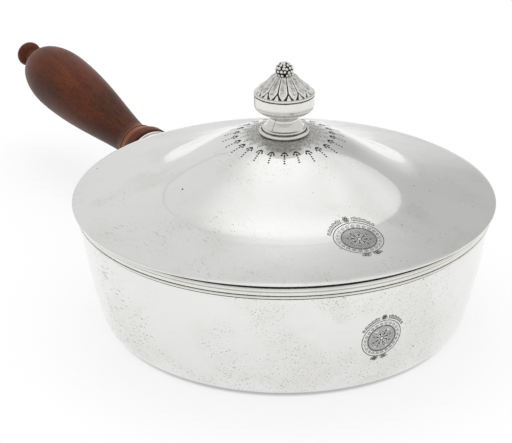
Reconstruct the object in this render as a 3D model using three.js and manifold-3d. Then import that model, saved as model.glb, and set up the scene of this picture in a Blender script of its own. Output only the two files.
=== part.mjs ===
// Covered vegetable dish: a round silver dish with a turned wooden side handle and a lift-off silver cover.
// Millimetres, +Z up. The origin is the centre of the flat underside. The handle points along -X.
// The pieces are turned about the dish's axis, apart from the handle's, which are turned about its own axis.

import * as THREE from 'three';
import { mergeVertices } from 'three/addons/utils/BufferGeometryUtils.js';
import Module from 'manifold-3d';

const wasm = await Module();
wasm.setup();

// Dish: a raised bowl with a flat floor, a rounded heel and a wall that bows out towards its mouth
const dishHeight = 73;
const mouthRadius = 116.7;
const wallTaper = 11.1;
const heelCorner = 12;
const heelLean = THREE.MathUtils.degToRad(15.5);
const dishWall = 1.3;

// Reeded rim wire, soldered round the outside of the mouth
const rimWireHeight = 6.5;
const rimWireCore = 0.3;
const rimBeadProud = 1.7;
const rimBandProud = 0.9;
const rimReedProud = 0.6;
const rimBeadHeight = 2.4;
const rimReedHeight = 1.6;

// Cover: a wide flange and an ogee dome with a flat crown, which carries the finial
const coverOverhang = 3.3;
const coverThickness = 1;
const domeFootRadius = 80;
const flangeRise = 8.6;
const flangeSag = 0.5;
const domeHeight = 37.6;
const domeFootSweep = 17.7;
const crownRadius = 14.5;
const crownSweep = 24.2;
const crownSweepDrop = 0.4;
const coverSeatGap = 0.2;

// Bezel: the ring under the cover that drops inside the dish's mouth
const bezelDepth = 8;
const bezelWall = 1.2;
const bezelClearance = 0.7;

// Finial: stem, drum, leaf cap and berry, on a stud with a washer and a nut inside the cover
const stemBaseRadius = 14.15;
const stemWaistRadius = 8;
const stemHeight = 11.6;
const drumRadius = 16.95;
const drumHeight = 12.4;
const drumWall = 1.4;
const leafCapHeight = 11.3;
const leafCapTopRadius = 4.3;
const leafCapBendRadius = 8.5;
const leafCapBendHeight = 7.5;
const leafCapWall = 1.2;
const leafTipProud = 0.95;
const leafRootProud = 0.35;
const berryRadius = 4.85;
const berryCentreHeight = 1.35;
const studRadius = 2.4;
const studInStem = 7.6;
const studBelowCrown = 9.5;
const washerRadius = 7.5;
const washerThickness = 1;
const nutAcrossFlats = 10;
const nutThickness = 4.6;

// Handle: its axis rises outwards from a point on the wall, where the socket's length starts
const handleRise = THREE.MathUtils.degToRad(6);
const handleSeatHeight = 41.3;
const socketLength = 40.2;
const socketMouthRadius = 14.6;
const socketRootRadius = 17.4;
const socketFlareRadius = 20;
const socketFlareLength = 11;
const socketWall = 1.4;
const plateRadius = 22.5;
const plateThickness = 1.2;
const mouthRingLength = 4.6;
const mouthRingProud = 1.9;
const pinRadius = 1.25;
const pinFromEnd = 12;
const tenonLength = 26;

// Turned wood, measured from the collar's face
const handleLength = 181.3;
const collarProud = 2.25;
const collarBeadLength = 7.9;
const collarLength = 16.1;
const collarEndRadius = 13;
const neckRadius = 11.36;
const neckAt = 24.5;
const bellyRadius = 20.75;
const bellyAt = 121.9;
const shoulderEnd = 157.4;
const shoulderEndRadius = 7.9;
const knobNeckRadius = 5.4;
const knobRadius = 8.74;
const knobHalfLength = 6.6;
const swellPower = 1.3;

// Clearances: a soldered seam, a fit between pieces on the turned handle, and a loose hole round a stud
const seam = 0.1;
const fit = 0.3;
const studFit = 0.3;

// Steps round a turned piece
const dishSides = 72;
const finialSides = 32;
const handleSides = 32;

const silver = { color: 0xd8d6cf, roughness: 0.2, metalness: 1 };
const wood = { color: 0x5b2d1f, roughness: 0.42, metalness: 0 };

const at = (radius, height) => new THREE.Vector2(radius, height);

// Merges the seam of a turned surface and drops the flat triangles on its axis.
function clean(geometry) {
  geometry.deleteAttribute('normal');
  geometry.deleteAttribute('uv');
  const merged = mergeVertices(geometry, 1e-4);
  const index = merged.index.array;
  const kept = [];
  for (let i = 0; i < index.length; i += 3) {
    const [a, b, c] = index.slice(i, i + 3);
    if (a !== b && b !== c && c !== a) {
      kept.push(a, b, c);
    }
  }
  merged.setIndex(kept);
  return merged;
}

// A solid turned about Z. The outline runs anticlockwise, seen with the radius to the right and height up.
function turned(outline, sides) {
  const geometry = new THREE.LatheGeometry(outline, sides);
  geometry.rotateX(Math.PI / 2);
  return clean(geometry);
}

// A ring turned about Z from an outline that closes on itself.
function turnedRing(outline, sides) {
  return turned([...outline, outline[0].clone()], sides);
}

function toSolid(geometry) {
  return new wasm.Manifold(new wasm.Mesh({
    numProp: 3,
    vertProperties: new Float32Array(geometry.attributes.position.array),
    triVerts: new Uint32Array(geometry.index.array),
  }));
}

function fromSolid(solid) {
  const mesh = solid.getMesh();
  const geometry = new THREE.BufferGeometry();
  geometry.setAttribute('position', new THREE.BufferAttribute(new Float32Array(mesh.vertProperties), 3));
  geometry.setIndex([...mesh.triVerts]);
  return geometry;
}

const cut = (geometry, tool) => fromSolid(toSolid(geometry).subtract(toSolid(tool)));
const common = (geometry, tool) => fromSolid(toSolid(geometry).intersect(toSolid(tool)));

// Points of a curve moved sideways by an offset. A positive offset moves them to the curve's right.
function offsetCurve(curve, offset, steps) {
  const points = [];
  for (let i = 0; i <= steps; i += 1) {
    const tangent = curve.getTangent(i / steps);
    points.push(curve.getPoint(i / steps).add(at(tangent.y * offset, -tangent.x * offset)));
  }
  return points;
}

const heelRadius = mouthRadius - wallTaper;
const coverRadius = mouthRadius + coverOverhang;

// The dish's outline from the edge of its flat floor to its mouth, moved outwards by an offset.
function wallOutline(offset) {
  const heel = at(heelRadius, heelCorner * (1 - Math.sin(heelLean)));
  const centre = at(heelRadius - heelCorner * Math.cos(heelLean), heelCorner);
  const mouth = at(mouthRadius, dishHeight);
  const reach = heel.distanceTo(mouth) / 2;
  const bend = heel.clone().add(at(Math.sin(heelLean), Math.cos(heelLean)).multiplyScalar(reach));
  const corner = new THREE.EllipseCurve(
    centre.x, centre.y, heelCorner + offset, heelCorner + offset, -Math.PI / 2, -heelLean);
  const wall = offsetCurve(new THREE.QuadraticBezierCurve(heel, bend, mouth), offset, 6);
  wall[wall.length - 1].y = dishHeight;
  return [...corner.getPoints(4), ...wall.slice(1)];
}

// Everything inside the dish's outer surface moved outwards by a gap, carried on above the mouth.
function insideOfWall(gap) {
  const outline = wallOutline(gap);
  const last = outline[outline.length - 1];
  const above = dishHeight + rimWireHeight;
  return turned([at(0, -gap), ...outline, at(last.x, above), at(0, above)], dishSides);
}

// The radius of an outline at a height, by straight lines between its points.
function radiusAt(outline, height) {
  const above = outline.findIndex((point) => point.y >= height);
  const [low, high] = [outline[above - 1], outline[above]];
  return THREE.MathUtils.mapLinear(height, low.y, high.y, low.x, high.x);
}

function dishBody() {
  const outside = wallOutline(0);
  const inside = wallOutline(-dishWall).reverse();
  return turned([at(0, 0), ...outside, ...inside, at(0, dishWall)], dishSides);
}

// Half of an ellipse that stands out from the rim wire's core, from its lower end to its upper end.
const coreRadius = mouthRadius + rimWireCore;

function halfRound(middle, proud, height, steps) {
  const out = proud - rimWireCore;
  const half = new THREE.EllipseCurve(coreRadius, middle, out, height / 2, -Math.PI / 2, Math.PI / 2);
  return half.getPoints(steps);
}

// The rim wire is a half-round bead over a flat band, with a fine reed at its lower edge.
const beadMiddle = dishHeight - rimBeadHeight / 2;

function rimWire() {
  const bottom = dishHeight - rimWireHeight;
  const band = mouthRadius + rimBandProud;
  const bandEdge = 0.2;
  const root = mouthRadius - wallTaper / 2;
  const outline = [
    at(root, bottom),
    ...halfRound(bottom + rimReedHeight / 2, rimReedProud, rimReedHeight, 4),
    at(band, bottom + rimReedHeight + bandEdge),
    at(band, dishHeight - rimBeadHeight - bandEdge),
    ...halfRound(beadMiddle, rimBeadProud, rimBeadHeight, 6),
    at(root, dishHeight),
  ];
  return cut(turnedRing(outline, dishSides), insideOfWall(seam));
}

// The cover's height follows from its seat: its sloping underside passes just over the rim wire's bead.
const flangeWidth = coverRadius - domeFootRadius;
const edgeSlope = (flangeRise - 2 * flangeSag) / flangeWidth;
const beadReach = Math.hypot((rimBeadProud - rimWireCore) * edgeSlope, rimBeadHeight / 2);
const seatHeight = beadMiddle + beadReach + coverSeatGap;
const edgeDrop = edgeSlope * (coverRadius - coreRadius);
const coverEdgeTop = seatHeight + coverThickness * Math.hypot(1, edgeSlope) - edgeDrop;
const crownTop = coverEdgeTop + domeHeight;
const crownUnder = crownTop - coverThickness;

// The cover's top from its edge to its flat crown: a slightly hollow flange, then an ogee.
function coverTop() {
  const edge = at(coverRadius, coverEdgeTop);
  const foot = at(domeFootRadius, coverEdgeTop + flangeRise);
  const middle = edge.clone().lerp(foot, 0.5).sub(at(0, flangeSag));
  const footSlope = (foot.y - middle.y) / (middle.x - foot.x);
  const lowHandle = foot.clone().add(at(-domeFootSweep, domeFootSweep * footSlope));
  const highHandle = at(crownRadius + crownSweep, crownTop - crownSweepDrop);
  const crown = at(crownRadius, crownTop);
  const path = new THREE.CurvePath();
  path.add(new THREE.QuadraticBezierCurve(edge, middle, foot));
  path.add(new THREE.CubicBezierCurve(foot, lowHandle, highHandle, crown));
  return path;
}

// Points along the cover, moved down from its top by an offset, from its edge to its crown.
function coverLine(offset) {
  const [flange, dome] = coverTop().curves;
  return [...offsetCurve(flange, -offset, 3), ...offsetCurve(dome, -offset, 10).slice(1)];
}

function coverShell() {
  const hole = studRadius + studFit;
  const under = coverLine(coverThickness).reverse();
  return turnedRing([at(hole, crownUnder), ...under, ...coverLine(0), at(hole, crownTop)], dishSides);
}

// Everything above the cover's underside lowered by a gap.
function aboveCover(gap) {
  const line = coverLine(coverThickness + gap);
  const top = crownTop + gap;
  return turned([at(0, crownUnder - gap), ...line.reverse(), at(coverRadius, top), at(0, top)], dishSides);
}

function coverBezel() {
  const bottom = dishHeight - bezelDepth;
  const outer = radiusAt(wallOutline(-dishWall), bottom) - bezelClearance;
  const inner = outer - bezelWall;
  const top = coverEdgeTop + flangeRise;
  const outline = [
    at(inner, bottom),
    at(outer - 0.5, bottom),
    at(outer, bottom + 0.7),
    at(outer, top),
    at(inner, top),
  ];
  return cut(turnedRing(outline, dishSides), aboveCover(seam));
}

// The finial's heights are measured from the crown of the cover.
const stemTop = seam + stemHeight;
const drumBase = stemTop + seam;
const drumTop = drumBase + drumHeight;
const capBase = drumTop + seam;
const capTop = capBase + leafCapHeight;
const berryBase = capTop + seam;

// A base bead, a quirk and a fine ring under a hollow cone that narrows to the waist and opens again.
function finialStem() {
  const holeRadius = studRadius + studFit;
  const base = stemBaseRadius;
  const waist = stemWaistRadius;
  const outline = [
    at(holeRadius, seam),
    at(base - 0.75, seam),
    at(base - 0.15, 0.6),
    at(base, 1.2),
    at(base - 0.2, 1.8),
    at(base - 0.95, 2.3),
    at(base - 1.8, 2.5),
    at(base - 1.75, 3.1),
    at(base - 1.9, 3.6),
    at(base - 2.6, 3.9),
    at(waist + 3, 4.2),
    at(waist + 2.4, 5),
    at(waist + 1.9, 5.8),
    at(waist + 1.3, 6.6),
    at(waist + 0.7, 7.4),
    at(waist + 0.15, 8.2),
    at(waist, 9),
    at(waist + 0.15, 9.9),
    at(waist + 0.6, 10.8),
    at(waist + 1.4, stemTop),
    at(0, stemTop),
    at(0, studInStem + studFit),
    at(holeRadius, studInStem + studFit),
  ];
  return turnedRing(outline, finialSides);
}

// A shallow cup with a rounded underside, an upright band and a bead at its rim, open at the top.
function finialDrum() {
  const edge = drumRadius;
  const hollow = edge - drumWall;
  const outline = [
    at(0, drumBase),
    at(edge - 6, drumBase),
    at(edge - 4.7, drumBase + 0.55),
    at(edge - 3.3, drumBase + 1.3),
    at(edge - 2, drumBase + 2.1),
    at(edge - 0.95, drumBase + 2.95),
    at(edge - 0.35, drumBase + 3.8),
    at(edge, drumBase + 4.9),
    at(edge, drumTop - 1.1),
    at(edge + 0.2, drumTop - 0.8),
    at(edge + 0.15, drumTop - 0.3),
    at(edge - 0.3, drumTop),
    at(hollow, drumTop),
    at(hollow, drumBase + 5.6),
    at(edge - 4.6, drumBase + 3.1),
    at(0, drumBase + drumWall + 0.4),
  ];
  return turned(outline, finialSides);
}

// A thin cap that bows out over the drum and narrows to a flat top under the berry. The leaves' tips and roots stand
// proud of its line, each in a rounded swelling between two shares of the line.
const capSwellings = [
  { proud: leafTipProud, from: 0, to: 0.3 },
  { proud: leafRootProud, from: 0.5, to: 0.92 },
];

function finialLeafCap() {
  const foot = at(drumRadius - 0.75, capBase);
  const bend = at(leafCapBendRadius, capBase + leafCapBendHeight);
  const rise = new THREE.QuadraticBezierCurve(foot, bend, at(leafCapTopRadius, capTop));
  const steps = 16;
  const outside = rise.getPoints(steps).map((point, i) => {
    const tangent = rise.getTangent(i / steps);
    for (const { proud, from, to } of capSwellings) {
      const along = (i / steps - from) / (to - from);
      if (along > 0 && along < 1) {
        const out = proud * Math.sin(Math.PI * along) ** 2;
        point.add(at(tangent.y * out, -tangent.x * out));
      }
    }
    return point;
  });
  const inside = offsetCurve(rise, -leafCapWall, 9).reverse();
  inside[inside.length - 1].y = capBase;
  return turned([...outside, at(0, capTop), at(0, inside[0].y), ...inside, foot.clone()], finialSides);
}

// A ball cut flat where it sits on the leaf cap.
function finialBerry() {
  const start = -Math.asin(berryCentreHeight / berryRadius);
  const centre = berryBase + berryCentreHeight;
  const ball = new THREE.EllipseCurve(0, centre, berryRadius, berryRadius, start, Math.PI / 2);
  const points = ball.getPoints(10);
  points[points.length - 1].x = 0;
  return turned([at(0, berryBase), ...points], finialSides / 2);
}

function finialStud() {
  const outline = [at(0, -studBelowCrown), at(studRadius - 0.5, -studBelowCrown),
    at(studRadius, 0.5 - studBelowCrown), at(studRadius, studInStem), at(0, studInStem)];
  return turned(outline, finialSides / 2);
}

function finialWasher() {
  const top = -coverThickness - seam;
  const bottom = top - washerThickness;
  const hole = studRadius + studFit;
  const outline = [at(hole, bottom), at(washerRadius, bottom), at(washerRadius, top), at(hole, top)];
  return turnedRing(outline, finialSides);
}

// A square nut with a round hole.
function finialNut() {
  const half = nutAcrossFlats / 2;
  const outline = new THREE.Shape([at(-half, -half), at(half, -half), at(half, half), at(-half, half)]);
  const hole = new THREE.Path();
  hole.absarc(0, 0, studRadius + studFit, 0, 2 * Math.PI, true);
  outline.holes.push(hole);
  const geometry = new THREE.ExtrudeGeometry(outline, {
    depth: nutThickness, bevelEnabled: false, curveSegments: finialSides / 4,
  });
  geometry.translate(0, 0, -coverThickness - 2 * seam - washerThickness - nutThickness);
  return clean(geometry);
}

// The handle's own frame: its Z axis runs outwards along the handle, and its Y axis stays level.
// It starts on the dish's axis, so lengths along the handle count from there.
const seatRadius = radiusAt(wallOutline(0), handleSeatHeight);
const wallReach = seatRadius / Math.cos(handleRise);
const socketEnd = wallReach + socketLength;
const handle = new THREE.Group();
handle.position.set(0, 0, handleSeatHeight - seatRadius * Math.tan(handleRise));
handle.rotation.y = handleRise - Math.PI / 2;
handle.updateMatrix();
const intoHandleFrame = handle.matrix.clone().invert();

const wallFromHandle = (gap) => insideOfWall(gap).applyMatrix4(intoHandleFrame);
const plateOuter = seam + plateThickness;

// Trims a piece of the handle that would reach the rim wire.
function underRim(geometry) {
  const bottom = dishHeight - rimWireHeight - seam;
  const reach = mouthRadius + rimBeadProud + seam;
  const top = dishHeight + rimWireHeight;
  const room = turned([at(0, bottom), at(reach, bottom), at(reach, top), at(0, top)], dishSides);
  return cut(geometry, room.applyMatrix4(intoHandleFrame));
}

// A round plate bent to the wall under the socket.
function socketPlate() {
  const disc = turned([at(0, wallReach / 2), at(plateRadius, wallReach / 2),
    at(plateRadius, socketEnd), at(0, socketEnd)], handleSides);
  return underRim(cut(common(disc, wallFromHandle(plateOuter)), wallFromHandle(seam)));
}

function pinGeometry(radius, halfLength) {
  const geometry = new THREE.CylinderGeometry(radius, radius, 2 * halfLength, 16);
  geometry.translate(0, 0, socketEnd - pinFromEnd);
  return clean(geometry);
}

// The socket's outside, from inside the wall to its mouth: a flare, then a taper.
const flareStart = wallReach + plateOuter;
const flareEnd = flareStart + socketFlareLength;

function socketLine(offset) {
  const flare = new THREE.QuadraticBezierCurve(
    at(socketFlareRadius, flareStart), at(socketRootRadius, flareStart), at(socketRootRadius, flareEnd));
  const inWall = at(socketFlareRadius, wallReach / 2);
  const line = [inWall, ...flare.getPoints(5), at(socketMouthRadius, socketEnd)];
  return line.map((point) => at(point.x + offset, point.y));
}

// A tapering tube that flares where it meets the plate, pierced for the pin.
function handleSocket() {
  const tube = turnedRing([...socketLine(0), ...socketLine(-socketWall).reverse()], handleSides);
  const seated = underRim(cut(tube, wallFromHandle(plateOuter + seam)));
  return cut(seated, pinGeometry(pinRadius + fit, 2 * socketRootRadius));
}

// A moulded band round the mouth of the socket: a bead and a quirk, then a wider bead.
function socketMouthRing() {
  const start = socketEnd - mouthRingLength;
  const inner = radiusAt(socketLine(fit), start);
  const outer = socketMouthRadius + mouthRingProud;
  const outline = [
    at(inner, start),
    at(outer - 0.4, start),
    at(outer - 0.2, start + 0.6),
    at(outer - 0.3, start + 1.4),
    at(outer - 0.8, start + 2),
    at(outer - 0.2, start + 2.6),
    at(outer, start + 3.4),
    at(outer - 0.15, start + 4.1),
    at(outer - 0.45, socketEnd),
    at(inner, socketEnd),
  ];
  return turnedRing(outline, handleSides);
}

const collarRadius = socketMouthRadius + collarProud;

// The turned wood: tenon, collar bead and taper, fine ring, neck, belly, shoulder, waist and end knob.
function woodenHandle() {
  const face = socketEnd + fit;
  const tenonRadius = socketMouthRadius - socketWall - fit;
  const outline = [
    at(0, face - tenonLength),
    at(tenonRadius - 0.8, face - tenonLength),
    at(tenonRadius, face - tenonLength + 0.8),
    at(tenonRadius, face),
    at(collarRadius - 0.6, face),
    at(collarRadius - 0.2, face + 0.5),
    at(collarRadius, face + 1.6),
    at(collarRadius - 0.1, face + collarBeadLength - 5),
    at(collarRadius - 0.4, face + collarBeadLength - 2),
    at(collarRadius - 0.55, face + collarBeadLength - 0.5),
    at(collarRadius - 0.9, face + collarBeadLength),
    at(collarRadius - 1.5, face + collarBeadLength + 2),
    at(collarEndRadius + 0.85, face + collarLength - 2.5),
    at(collarEndRadius, face + collarLength),
    at(collarEndRadius + 0.25, face + collarLength + 0.3),
    at(collarEndRadius + 0.2, face + collarLength + 1.2),
    at(collarEndRadius - 0.35, face + collarLength + 1.6),
    at(neckRadius + 0.52, face + neckAt - 3.5),
  ];
  const swellSteps = 9;
  for (let i = 0; i <= swellSteps; i += 1) {
    const swell = Math.sin(Math.PI / 2 * i / swellSteps) ** swellPower;
    const along = neckAt + (bellyAt - neckAt) * i / swellSteps;
    outline.push(at(neckRadius + (bellyRadius - neckRadius) * swell, face + along));
  }
  const shoulder = new THREE.EllipseCurve(
    shoulderEndRadius, face + bellyAt, bellyRadius - shoulderEndRadius, shoulderEnd - bellyAt, 0, Math.PI / 2);
  outline.push(...shoulder.getPoints(8).slice(1));
  const knobMiddle = handleLength - knobHalfLength;
  const knobStart = Math.acos(knobNeckRadius / knobRadius);
  const knobFoot = knobMiddle - knobHalfLength * Math.sin(knobStart);
  const waistLength = knobFoot - shoulderEnd;
  outline.push(
    at(shoulderEndRadius - 0.9, face + shoulderEnd + 0.1 * waistLength),
    at(knobNeckRadius + 0.4, face + shoulderEnd + 0.35 * waistLength),
    at(knobNeckRadius - 0.3, face + shoulderEnd + 0.7 * waistLength),
  );
  const knob = new THREE.EllipseCurve(0, face + knobMiddle, knobRadius, knobHalfLength, -knobStart, Math.PI / 2);
  const knobPoints = knob.getPoints(10);
  knobPoints[knobPoints.length - 1].x = 0;
  outline.push(...knobPoints);
  return cut(turned(outline, handleSides), pinGeometry(pinRadius + fit, 2 * tenonRadius));
}

// A plain pin across the socket and the tenon, flush with the socket's outside.
function handlePin() {
  return pinGeometry(pinRadius, radiusAt(socketLine(0), socketEnd - pinFromEnd));
}

function piece(name, geometry, finish, place) {
  const mesh = new THREE.Mesh(geometry, new THREE.MeshStandardMaterial(finish));
  mesh.name = name;
  place.add(mesh);
}

const dish = new THREE.Group();
piece('dish_body', dishBody(), silver, dish);
piece('rim_wire', rimWire(), silver, dish);
piece('socket_plate', socketPlate(), silver, handle);
piece('handle_socket', handleSocket(), silver, handle);
piece('socket_mouth_ring', socketMouthRing(), silver, handle);
piece('wooden_handle', woodenHandle(), wood, handle);
piece('handle_pin', handlePin(), silver, handle);
dish.add(handle);

const cover = new THREE.Group();
piece('cover_shell', coverShell(), silver, cover);
piece('cover_bezel', coverBezel(), silver, cover);

const finial = new THREE.Group();
finial.position.set(0, 0, crownTop);
piece('finial_stem', finialStem(), silver, finial);
piece('finial_drum', finialDrum(), silver, finial);
piece('finial_leaf_cap', finialLeafCap(), silver, finial);
piece('finial_berry', finialBerry(), silver, finial);
piece('finial_stud', finialStud(), silver, finial);
piece('finial_washer', finialWasher(), silver, finial);
piece('finial_nut', finialNut(), silver, finial);
cover.add(finial);

const coveredDish = new THREE.Group();
coveredDish.add(dish, cover);

export default coveredDish;
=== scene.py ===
"""Looks for a covered silver vegetable dish with a turned wooden side handle.

Lengths in the shape functions are millimetres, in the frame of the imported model, and become metres in build().
"""
import math

import bpy
import numpy as np
from mathutils import Matrix, Quaternion, Vector


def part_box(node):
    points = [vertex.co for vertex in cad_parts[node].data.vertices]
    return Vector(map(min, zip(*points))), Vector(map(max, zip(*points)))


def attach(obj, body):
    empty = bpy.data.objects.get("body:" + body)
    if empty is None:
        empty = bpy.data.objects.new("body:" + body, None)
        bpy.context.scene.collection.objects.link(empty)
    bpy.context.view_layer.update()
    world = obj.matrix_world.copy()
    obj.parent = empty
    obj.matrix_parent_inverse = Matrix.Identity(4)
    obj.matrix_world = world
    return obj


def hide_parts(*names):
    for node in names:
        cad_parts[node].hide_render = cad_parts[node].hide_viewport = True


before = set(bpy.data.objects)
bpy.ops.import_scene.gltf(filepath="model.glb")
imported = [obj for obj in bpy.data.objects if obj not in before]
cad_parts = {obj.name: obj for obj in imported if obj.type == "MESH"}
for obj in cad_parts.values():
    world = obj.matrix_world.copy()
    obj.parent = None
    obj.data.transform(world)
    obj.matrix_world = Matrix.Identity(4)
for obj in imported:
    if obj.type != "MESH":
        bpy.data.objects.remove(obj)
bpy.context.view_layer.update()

MM = 0.001
CAMERA_AZIMUTH = math.radians(55.93)
CAMERA_ELEVATION = math.radians(23.69)
CAMERA_ROLL = math.radians(0.16)
CAMERA_DISTANCE = 0.960
CAMERA_AIM = Vector((0, 0, 0.0739))
PHOTO_WIDTH = 512
# The angle about Z, from the X axis, of the side that faces the camera.
FRONT = CAMERA_AZIMUTH - math.pi / 2


# ---- curves and meshes
def bezier(points, steps):
    """Points of a Bezier curve of any degree, as an array."""
    t = np.linspace(0, 1, steps + 1)[:, None]
    n = len(points) - 1
    out = 0
    for i, p in enumerate(points):
        out = out + math.comb(n, i) * t**i * (1 - t) ** (n - i) * np.array(p, float)
    return out


def arc(centre, radii, start, end, steps):
    """Points of an ellipse's arc, with its angles in degrees."""
    a = np.radians(np.linspace(start, end, steps + 1))
    return np.stack([centre[0] + radii[0] * np.cos(a), centre[1] + radii[1] * np.sin(a)], 1)


def spline(points, steps):
    """A smooth curve through points, with a number of steps between each two of them."""
    p = np.array(points, float)
    p = np.vstack([2 * p[0] - p[1], p, 2 * p[-1] - p[-2]])
    t = np.linspace(0, 1, steps, endpoint=False)[:, None]
    parts = []
    for a, b, c, d in zip(p[:-3], p[1:-2], p[2:-1], p[3:]):
        squares, cubes = 2 * a - 5 * b + 4 * c - d, 3 * b - a - 3 * c + d
        parts.append(0.5 * (2 * b + (c - a) * t + squares * t**2 + cubes * t**3))
    return np.vstack([*parts, p[-2:-1]])


def offset(curve, by):
    """A curve moved to its right by a distance."""
    d = np.gradient(curve, axis=0)
    d /= np.linalg.norm(d, axis=1)[:, None]
    return curve + by * np.stack([d[:, 1], -d[:, 0]], 1)


def join(*parts):
    """One curve from points and curves in turn."""
    return np.vstack([np.atleast_2d(np.array(p, float)) for p in parts])


def grid_faces(rows, columns, close_rows=False):
    """Faces of a grid whose columns close on themselves."""
    faces = []
    for i in range(rows if close_rows else rows - 1):
        low, high = i * columns, (i + 1) % rows * columns
        for j in range(columns):
            k = (j + 1) % columns
            faces.append((low + j, low + k, high + k, high + j))
    return faces


def fan(centre, first, sides, down=False):
    """Faces that join one point to the points of a ring."""
    pairs = [(first + j, first + (j + 1) % sides) for j in range(sides)]
    return [(centre, b, a) if down else (centre, a, b) for a, b in pairs]


def turn(outline, sides, closed=False):
    """Vertices and faces of an outline (radius, height) turned about Z. A point on the axis becomes one vertex."""
    outline = np.array(outline, float)
    start = 0 if closed or outline[0, 0] > 1e-6 else 1
    stop = len(outline) if closed or outline[-1, 0] > 1e-6 else len(outline) - 1
    rings = outline[start:stop]
    points = ring(rings[:, :1], circle(sides), rings[:, 1:]).reshape(-1, 3)
    faces = grid_faces(len(rings), sides, close_rows=closed)
    if start:
        faces += fan(len(points), 0, sides, down=True)
        points = np.vstack([points, [[0, 0, outline[0, 1]]]])
    if stop < len(outline):
        faces += fan(len(points), (len(rings) - 1) * sides, sides)
        points = np.vstack([points, [[0, 0, outline[-1, 1]]]])
    return points, faces


def circle(sides):
    """The angles of a ring's points."""
    return np.arange(sides) * 2 * math.pi / sides


def ring(radius, angles, height):
    """The points of one ring about Z. Its radius and its height may differ from point to point."""
    return np.stack([radius * np.cos(angles), radius * np.sin(angles), height + 0 * angles], -1)


def groove_shade(points, height, width):
    """How dark a turned piece is near a height where it has a groove."""
    return np.exp(-((points[:, 2] - height) / width) ** 2)


def put(name, data):
    """Adds an object to the scene."""
    thing = bpy.data.objects.new(name, data)
    bpy.context.scene.collection.objects.link(thing)
    return thing


def build(name, points, faces, material, body, stands_for=(), sharp=35, shade=None):
    """Makes a piece from millimetres, sets it on its body, and hides the model's parts that it stands for.

    The shade is a value for each point: on silver, how much painted shade lies there, in gaps, grooves, clefts and
    under parts, with some grime and the seam; on wood, a painted highlight above 0 and painted shade below 0.
    """
    mesh = bpy.data.meshes.new(name)
    mesh.from_pydata((np.array(points) * MM).tolist(), [], faces)
    mesh.validate()
    mesh.shade_smooth()
    mesh.set_sharp_from_angle(angle=math.radians(sharp))
    if shade is not None:
        attribute = mesh.attributes.new("recess", "FLOAT", "POINT")
        attribute.data.foreach_set("value", np.array(shade, np.float32))
    mesh.materials.append(material)
    piece = put(name, mesh)
    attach(piece, body)
    if stands_for:
        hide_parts(*stands_for)


# ---- material nodes
class Nodes:
    """A node tree, with short calls for adding nodes and sums."""

    def __init__(self, tree):
        self.tree = tree

    def link(self, value, socket):
        if isinstance(value, bpy.types.NodeSocket):
            self.tree.links.new(value, socket)
        else:
            socket.default_value = value

    def add(self, kind, values=(), **settings):
        node = self.tree.nodes.new(kind)
        for key, value in settings.items():
            setattr(node, key, value)
        for key, value in dict(values).items():
            self.link(value, node.inputs[key])
        return node

    def sum(self, operation, *values):
        node = self.add("ShaderNodeMath", operation=operation)
        for i, value in enumerate(values):
            self.link(value, node.inputs[i])
        return node.outputs[0]

    def plus(self, a, b):
        return self.sum("ADD", a, b)

    def minus(self, a, b):
        return self.sum("SUBTRACT", a, b)

    def times(self, a, b):
        return self.sum("MULTIPLY", a, b)

    def span(self, value, low, high, to_low=0.0, to_high=1.0):
        """Maps a value smoothly from one span to another."""
        node = self.add("ShaderNodeMapRange", interpolation_type="SMOOTHSTEP")
        for i, v in enumerate((value, low, high, to_low, to_high)):
            self.link(v, node.inputs[i])
        return node.outputs[0]


class Shader(Nodes):
    """A material's node tree."""

    def __init__(self, name):
        self.material = bpy.data.materials.new(name)
        self.material.use_nodes = True
        super().__init__(self.material.node_tree)
        self.surface = self.tree.nodes["Principled BSDF"]
        self.place = self.add("ShaderNodeTexCoord").outputs["Object"]

    def stretch(self, scale, turn=(0, 0, 0), place=None):
        node = self.add("ShaderNodeMapping", {"Vector": place or self.place, "Rotation": turn, "Scale": scale})
        return node.outputs[0]

    def noise(self, place, scale, detail=2.0, rough=0.5, twist=0.0):
        node = self.add("ShaderNodeTexNoise", {
            "Vector": place, "Scale": scale, "Detail": detail, "Roughness": rough, "Distortion": twist,
        })
        return node.outputs["Fac"]

    def cells(self, place, scale):
        return self.add("ShaderNodeTexVoronoi", {"Vector": place, "Scale": scale}).outputs["Distance"]

    def shade(self):
        """The value that build() stores at the mesh's points."""
        return self.add("ShaderNodeAttribute", attribute_name="recess").outputs["Fac"]

    def mix(self, amount, a, b):
        node = self.add("ShaderNodeMix", data_type="RGBA")
        self.link(amount, node.inputs[0])
        for socket, value in ((node.inputs[6], a), (node.inputs[7], b)):
            self.link(value if isinstance(value, bpy.types.NodeSocket) else (*value, 1.0), socket)
        return node.outputs[2]

    def bumps(self, *layers):
        """Chains bump nodes. Each layer is a height and the depth in millimetres that a height of 1 stands for."""
        normal = None
        for height, depth in layers:
            node = self.add("ShaderNodeBump", {"Height": height, "Distance": depth * MM})
            if normal:
                self.link(normal, node.inputs["Normal"])
            normal = node.outputs["Normal"]
        self.link(normal, self.surface.inputs["Normal"])

    def finish(self, **values):
        """Sets or links the shader's sockets, and gives the material."""
        for key, value in values.items():
            socket = self.surface.inputs[key.replace("_", " ")]
            if isinstance(value, tuple) and len(value) == 3:
                value = (*value, 1.0)
            self.link(value, socket)
        return self.material


def scratches(s, seeds, length, width):
    """Sparse fine lines in several directions: 1 on a line, 0 elsewhere."""
    found = None
    for seed, turn in seeds:
        place = s.stretch((1 / length, 1 / width, 1 / width), turn=turn)
        shifted = s.add("ShaderNodeVectorMath", {0: place, 1: (seed, seed * 1.7, 0.3)}, operation="ADD")
        line = s.span(s.noise(shifted.outputs[0], 1.0, 1.0, 0.4), 0.70, 0.76)
        found = line if found is None else s.sum("MAXIMUM", found, line)
    return found


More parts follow.
